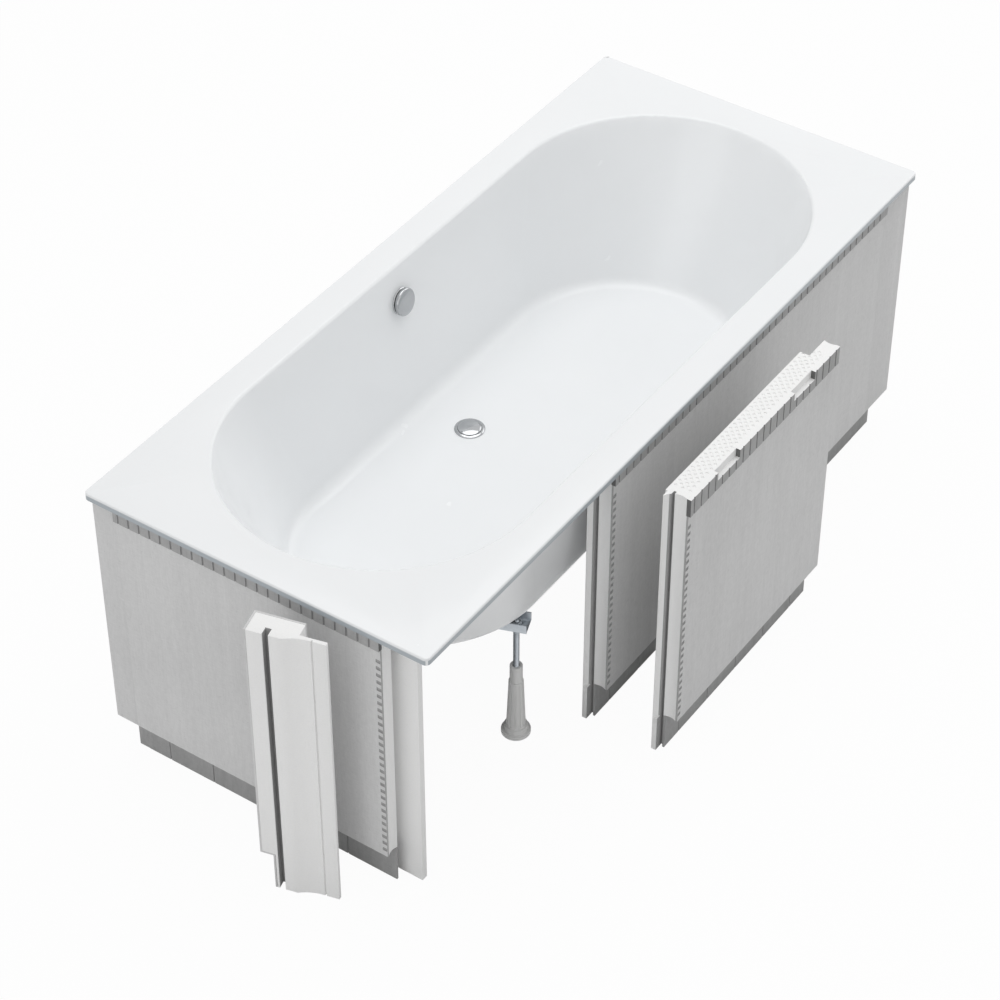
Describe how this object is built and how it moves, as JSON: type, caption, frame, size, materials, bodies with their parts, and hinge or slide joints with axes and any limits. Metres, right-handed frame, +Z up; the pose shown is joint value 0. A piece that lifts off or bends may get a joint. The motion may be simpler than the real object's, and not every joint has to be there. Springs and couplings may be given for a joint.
{
  "type": "skirted bathtub",
  "caption": "Rectangular double-ended steel bathtub in a coated foam skirt, with one front panel and one corner block taken out to show the bowl and its screw feet.",
  "frame": {"origin": "on the floor, in the middle of the footprint of the tub with its loose pieces", "axes": "+X along the tub, towards its right end as seen from the front; +Y towards the wall side, where the overflow is; +Z up"},
  "size_m": [1.8106, 0.899, 0.65],
  "materials": {
    "enamel": "glossy white vitreous enamel on steel sheet",
    "foam": "white expanded polystyrene foam, cut or moulded",
    "ribbed_coating": "matt grey mineral coating with fine upright ribs, ready for tiles",
    "plinth_coating": "matt dark grey mineral coating",
    "edge_coating": "matt grey mineral edge strip with upright grooves",
    "chrome": "bright chrome plate on brass",
    "rubber": "black moulded rubber",
    "pipe_plastic": "white polypropylene",
    "cable_sheath": "black plastic cable sheath",
    "foot_plastic": "light grey moulded plastic",
    "zinc_steel": "bright zinc plate"
  },
  "bodies": {
    "tub_and_skirt": {"back_left_corner_block": "foam", "back_left_corner_coat": "ribbed_coating", "back_left_panel_core": "foam", "back_left_panel_facing": "ribbed_coating", "back_left_panel_plinth": "plinth_coating", "back_left_panel_top_strip": "edge_coating", "back_right_corner_block": "foam", "back_right_corner_coat": "ribbed_coating", "back_right_panel_core": "foam", "back_right_panel_facing": "ribbed_coating", "back_right_panel_plinth": "plinth_coating", "back_right_panel_top_strip": "edge_coating", "bracket_pads": "rubber", "control_cable": "cable_sheath", "foot_brackets": "zinc_steel", "front_panel_core": "foam", "front_panel_facing": "ribbed_coating", "front_panel_plinth": "plinth_coating", "front_panel_top_strip": "edge_coating", "front_right_corner_block": "foam", "front_right_corner_coat": "ribbed_coating", "left_panel_core": "foam", "left_panel_facing": "ribbed_coating", "left_panel_plinth": "plinth_coating", "left_panel_top_strip": "edge_coating", "lock_nuts": "zinc_steel", "overflow_cup": "pipe_plastic", "overflow_gasket": "rubber", "overflow_pipe": "pipe_plastic", "overflow_ring": "chrome", "right_panel_core": "foam", "right_panel_facing": "ribbed_coating", "right_panel_plinth": "plinth_coating", "right_panel_top_strip": "edge_coating", "trap": "pipe_plastic", "tub_shell": "enamel", "waste_cup": "pipe_plastic", "waste_flange": "chrome", "waste_gasket": "rubber"},
    "plug": {"drain_plug": "chrome"},
    "knob": {"overflow_knob": "chrome"},
    "loose_panel": {"loose_panel_core": "foam", "loose_panel_facing": "ribbed_coating", "loose_panel_plinth": "plinth_coating", "loose_panel_top_strip": "edge_coating"},
    "loose_corner": {"loose_corner_block": "foam", "loose_corner_coat": "ribbed_coating"},
    "foot_front_left": {"foot_cone_front_left": "foot_plastic"},
    "rod_front_left": {"foot_rod_front_left": "zinc_steel"},
    "foot_front_right": {"foot_cone_front_right": "foot_plastic"},
    "rod_front_right": {"foot_rod_front_right": "zinc_steel"},
    "foot_back_left": {"foot_cone_back_left": "foot_plastic"},
    "rod_back_left": {"foot_rod_back_left": "zinc_steel"},
    "foot_back_right": {"foot_cone_back_right": "foot_plastic"},
    "rod_back_right": {"foot_rod_back_right": "zinc_steel"}
  },
  "joints": [
    {"name": "knob_turn", "type": "hinge", "parent": "tub_and_skirt", "child": "knob", "pos_m": [0.05526, 0.37089, 0.57], "axis": [0, -0.9878, 0.1557], "range_deg": [0, 90]},
    {"name": "plug_lift", "type": "slide", "parent": "tub_and_skirt", "child": "plug", "axis": [0, 0, 1], "range_m": [0, 0.012]},
    {"name": "loose_panel_slide", "type": "slide", "parent": "tub_and_skirt", "child": "loose_panel", "axis": [0, -1, 0], "range_m": [-0.05, 0.2]},
    {"name": "loose_corner_slide", "type": "slide", "parent": "tub_and_skirt", "child": "loose_corner", "axis": [-1, 0, 0], "range_m": [-0.015, 0.2]},
    {"name": "foot_front_left_height", "type": "slide", "parent": "tub_and_skirt", "child": "foot_front_left", "axis": [0, 0, 1], "range_m": [-0.01, 0.01]},
    {"name": "rod_front_left_turn", "type": "hinge", "parent": "foot_front_left", "child": "rod_front_left", "pos_m": [-0.32274, -0.1605, 0.2], "axis": [0, 0, 1], "range_deg": [-2060, 2060]},
    {"name": "foot_front_right_height", "type": "slide", "parent": "tub_and_skirt", "child": "foot_front_right", "axis": [0, 0, 1], "range_m": [-0.01, 0.01]},
    {"name": "rod_front_right_turn", "type": "hinge", "parent": "foot_front_right", "child": "rod_front_right", "pos_m": [0.43326, -0.1605, 0.2], "axis": [0, 0, 1], "range_deg": [-2060, 2060]},
    {"name": "foot_back_left_height", "type": "slide", "parent": "tub_and_skirt", "child": "foot_back_left", "axis": [0, 0, 1], "range_m": [-0.01, 0.01]},
    {"name": "rod_back_left_turn", "type": "hinge", "parent": "foot_back_left", "child": "rod_back_left", "pos_m": [-0.32274, 0.3095, 0.2], "axis": [0, 0, 1], "range_deg": [-2060, 2060]},
    {"name": "foot_back_right_height", "type": "slide", "parent": "tub_and_skirt", "child": "foot_back_right", "axis": [0, 0, 1], "range_m": [-0.01, 0.01]},
    {"name": "rod_back_right_turn", "type": "hinge", "parent": "foot_back_right", "child": "rod_back_right", "pos_m": [0.43326, 0.3095, 0.2], "axis": [0, 0, 1], "range_deg": [-2060, 2060]}
  ],
  "couplings": [
    {"joint": "plug_lift", "follows": "knob_turn", "m_per_rad": 0.007576},
    {"joint": "rod_front_left_turn", "follows": "foot_front_left_height", "rad_per_m": 3590.4},
    {"joint": "rod_front_right_turn", "follows": "foot_front_right_height", "rad_per_m": 3590.4},
    {"joint": "rod_back_left_turn", "follows": "foot_back_left_height", "rad_per_m": 3590.4},
    {"joint": "rod_back_right_turn", "follows": "foot_back_right_height", "rad_per_m": 3590.4}
  ]
}
